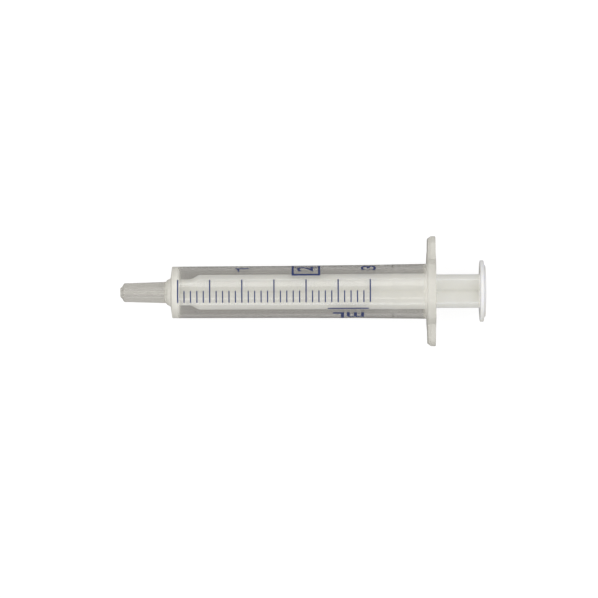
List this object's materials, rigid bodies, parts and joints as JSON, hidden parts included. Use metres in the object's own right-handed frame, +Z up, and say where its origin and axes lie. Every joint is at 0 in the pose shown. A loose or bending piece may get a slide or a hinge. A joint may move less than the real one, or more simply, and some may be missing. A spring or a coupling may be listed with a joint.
{
  "type": "oral syringe",
  "caption": "Slim two-piece oral syringe: clear graduated barrel with a tapered slip nozzle and winged finger flange, and a white four-rib plunger with a round thumb rest.",
  "frame": {"origin": "on the syringe's axis, at half of the closed length", "axes": "+X along the axis from the nozzle towards the thumb rest; +Y along one wing of the finger flange; +Z up, out of one of the flange's two flats and towards the side that carries the scale"},
  "size_m": [0.0782, 0.0234, 0.0134],
  "materials": {
    "clear_polypropylene": "gloss",
    "white_polyethylene": "satin"
  },
  "bodies": {
    "barrel": {"barrel": "clear_polypropylene"},
    "plunger": {"plunger": "white_polyethylene"}
  },
  "joints": [
    {"name": "plunger_slide", "type": "slide", "parent": "barrel", "child": "plunger", "axis": [1, 0, 0], "range_m": [0, 0.045]}
  ]
}
